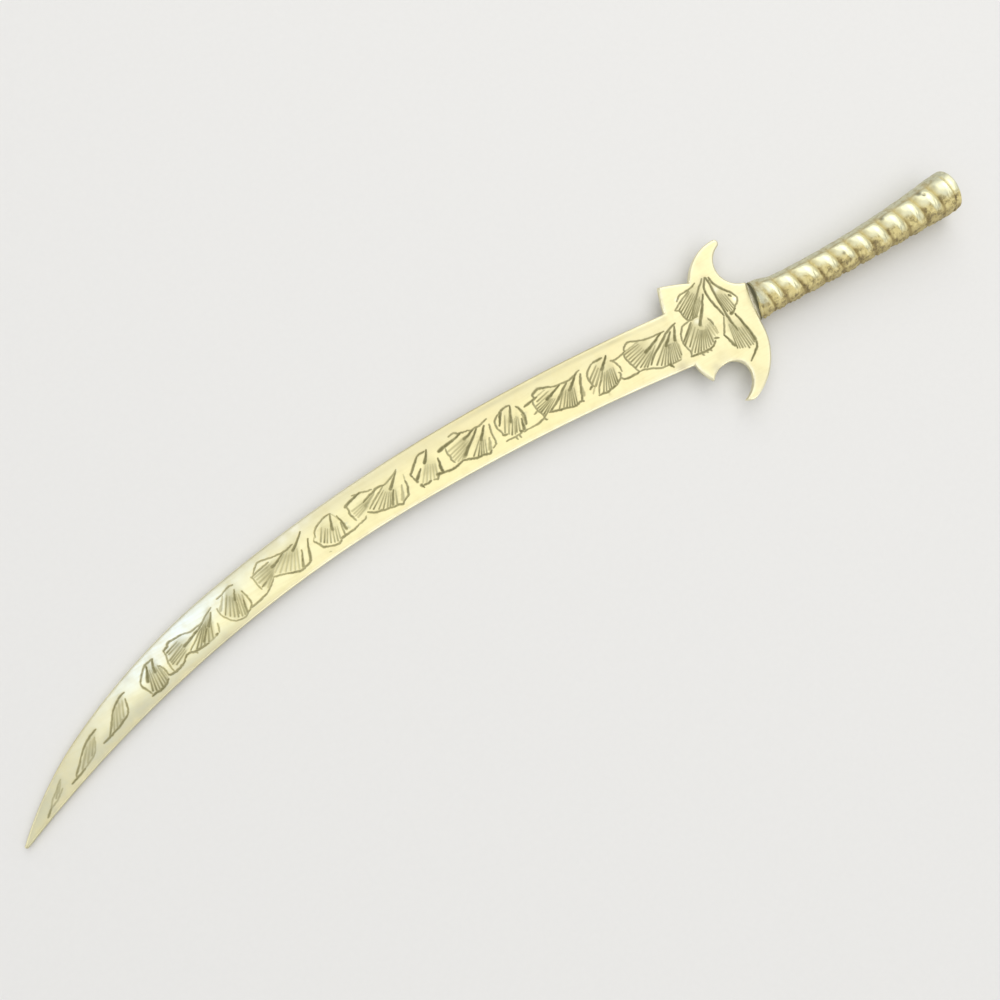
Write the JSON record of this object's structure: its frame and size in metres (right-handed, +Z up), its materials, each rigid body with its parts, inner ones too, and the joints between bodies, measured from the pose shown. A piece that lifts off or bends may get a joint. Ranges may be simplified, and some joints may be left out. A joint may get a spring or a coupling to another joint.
{
  "type": "letter opener",
  "caption": "A brass letter opener shaped like a sabre, with chased leaves along the blade, a horned guard and a rope-twist grip.",
  "frame": {"origin": "Middle of the bottom of the bounding box, under the blade near its middle, level with the grip's lowest point.", "axes": "+X runs along the object towards the pommel, +Y towards the blade's convex edge, +Z up out of the chased face."},
  "size_m": [0.2502, 0.0384, 0.01],
  "materials": {
    "blade_brass": "Worn polished brass, pale yellow, with dark olive patina in the chased lines.",
    "grip_brass": "Cast brass, polished on the lumps of the twist and brown with patina in the valleys.",
    "solder": "Dull grey tarnished solder."
  },
  "bodies": {
    "root": {"blade": "blade_brass", "grip": "grip_brass", "solder": "solder"}
  },
  "joints": []
}
